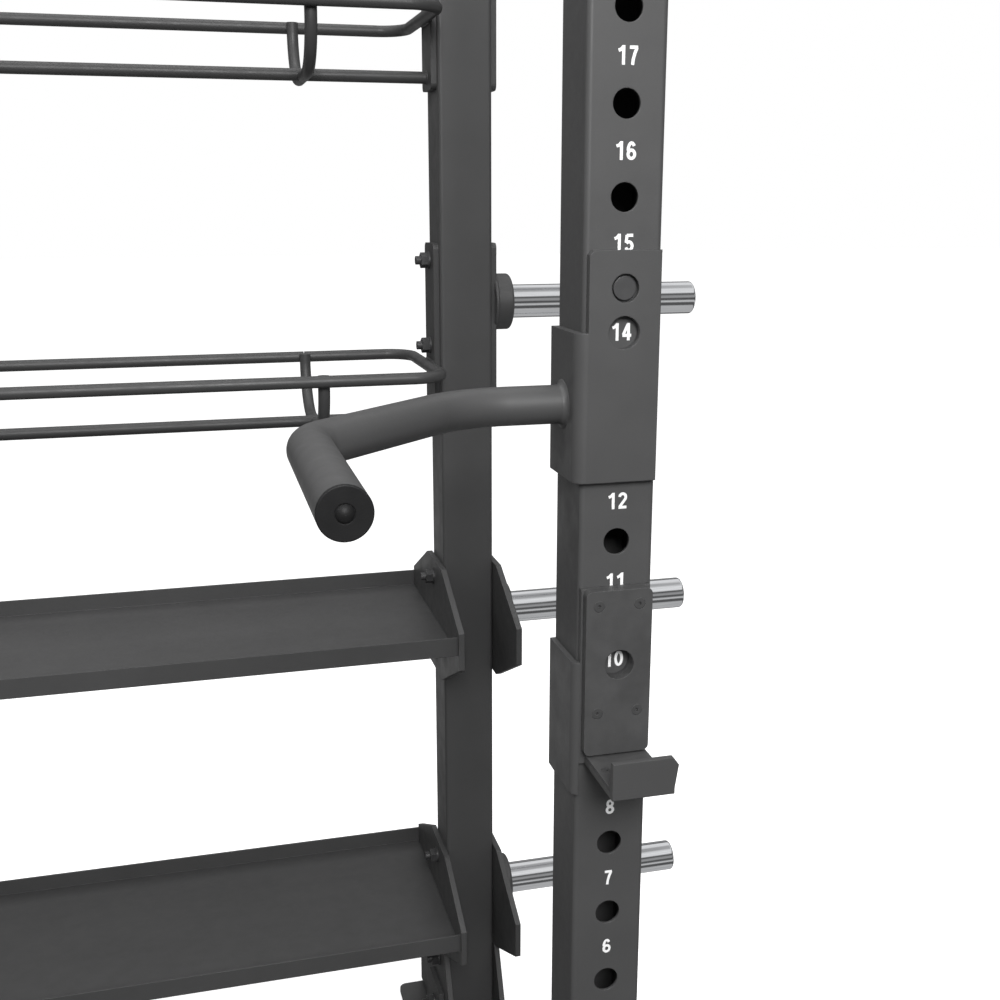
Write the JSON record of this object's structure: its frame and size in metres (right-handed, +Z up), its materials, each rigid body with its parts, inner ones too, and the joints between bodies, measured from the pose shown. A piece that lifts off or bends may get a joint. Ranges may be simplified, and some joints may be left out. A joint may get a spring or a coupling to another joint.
{
  "type": "power cage",
  "caption": "Power cage with round-hole uprights, weight plate pegs, wire cradles and shelves at the rear, and lift-off barbell hooks and dip handles at the front.",
  "frame": {"origin": "centre of the bounding box at floor level", "axes": "+X to the right seen from the front, +Y from front to rear, +Z up; the barbell hooks face -Y"},
  "size_m": [1.876, 1.194, 2.364],
  "materials": {
    "frame_paint": "charcoal powder coat, fine texture",
    "plate_paint": "charcoal powder coat on cut plate, worn at the edges",
    "wire_paint": "charcoal powder coat on round rod",
    "shelf_paint": "charcoal powder coat on folded sheet, lightly scuffed",
    "peg_chrome": "polished chrome plate",
    "pin_steel": "turned steel, blackened",
    "cap_plastic": "black moulded plastic",
    "liner_plastic": "dark grey wear plastic",
    "black_hardware": "black oxide fasteners"
  },
  "bodies": {
    "cage": {"front_upright_left": "frame_paint", "front_upright_right": "frame_paint", "rear_upright_left": "frame_paint", "rear_upright_right": "frame_paint", "base_runner_left": "frame_paint", "base_runner_right": "frame_paint", "base_gussets_left": "plate_paint", "base_gussets_right": "plate_paint", "top_side_beam_left": "frame_paint", "top_side_beam_right": "frame_paint", "rear_base_crossmember": "frame_paint", "rear_top_crossmember": "frame_paint", "front_top_crossmember": "frame_paint", "pull_up_bar": "frame_paint", "foot_plates": "plate_paint", "upright_base_plates": "plate_paint", "upright_top_caps": "cap_plastic", "runner_end_caps": "cap_plastic", "weight_peg_left_1": "peg_chrome", "weight_peg_left_2": "peg_chrome", "weight_peg_left_3": "peg_chrome", "weight_peg_left_4": "peg_chrome", "weight_peg_right_1": "peg_chrome", "weight_peg_right_2": "peg_chrome", "weight_peg_right_3": "peg_chrome", "weight_peg_right_4": "peg_chrome", "peg_bracket_left_1": "plate_paint", "peg_bracket_left_2": "plate_paint", "peg_bracket_left_3": "plate_paint", "peg_bracket_left_4": "plate_paint", "peg_bracket_right_1": "plate_paint", "peg_bracket_right_2": "plate_paint", "peg_bracket_right_3": "plate_paint", "peg_bracket_right_4": "plate_paint", "wire_cradle_upper": "wire_paint", "wire_cradle_lower": "wire_paint", "shelf_tray_upper": "shelf_paint", "shelf_tray_lower": "shelf_paint", "shelf_end_plates": "plate_paint", "storage_bolts": "black_hardware", "storage_nuts": "black_hardware", "base_bolts": "black_hardware", "frame_bolts": "black_hardware"},
    "hook_left": {"hook_bracket_left": "plate_paint", "hook_liner_left": "liner_plastic", "hook_pin_left": "pin_steel", "hook_screws_left": "black_hardware"},
    "hook_right": {"hook_bracket_right": "plate_paint", "hook_liner_right": "liner_plastic", "hook_pin_right": "pin_steel", "hook_screws_right": "black_hardware"},
    "dip_left": {"dip_bracket_left": "plate_paint", "dip_handle_left": "plate_paint", "dip_pin_left": "pin_steel", "dip_end_cap_left": "cap_plastic"},
    "dip_right": {"dip_bracket_right": "plate_paint", "dip_handle_right": "plate_paint", "dip_pin_right": "pin_steel", "dip_end_cap_right": "cap_plastic"}
  },
  "joints": [
    {"name": "hook_left_lift_off", "type": "slide", "parent": "cage", "child": "hook_left", "axis": [0, -1, 0], "range_m": [0, 0.09]},
    {"name": "hook_right_lift_off", "type": "slide", "parent": "cage", "child": "hook_right", "axis": [0, -1, 0], "range_m": [0, 0.09]},
    {"name": "dip_left_lift_off", "type": "slide", "parent": "cage", "child": "dip_left", "axis": [0, -1, 0], "range_m": [0, 0.09]},
    {"name": "dip_right_lift_off", "type": "slide", "parent": "cage", "child": "dip_right", "axis": [0, -1, 0], "range_m": [0, 0.09]}
  ]
}
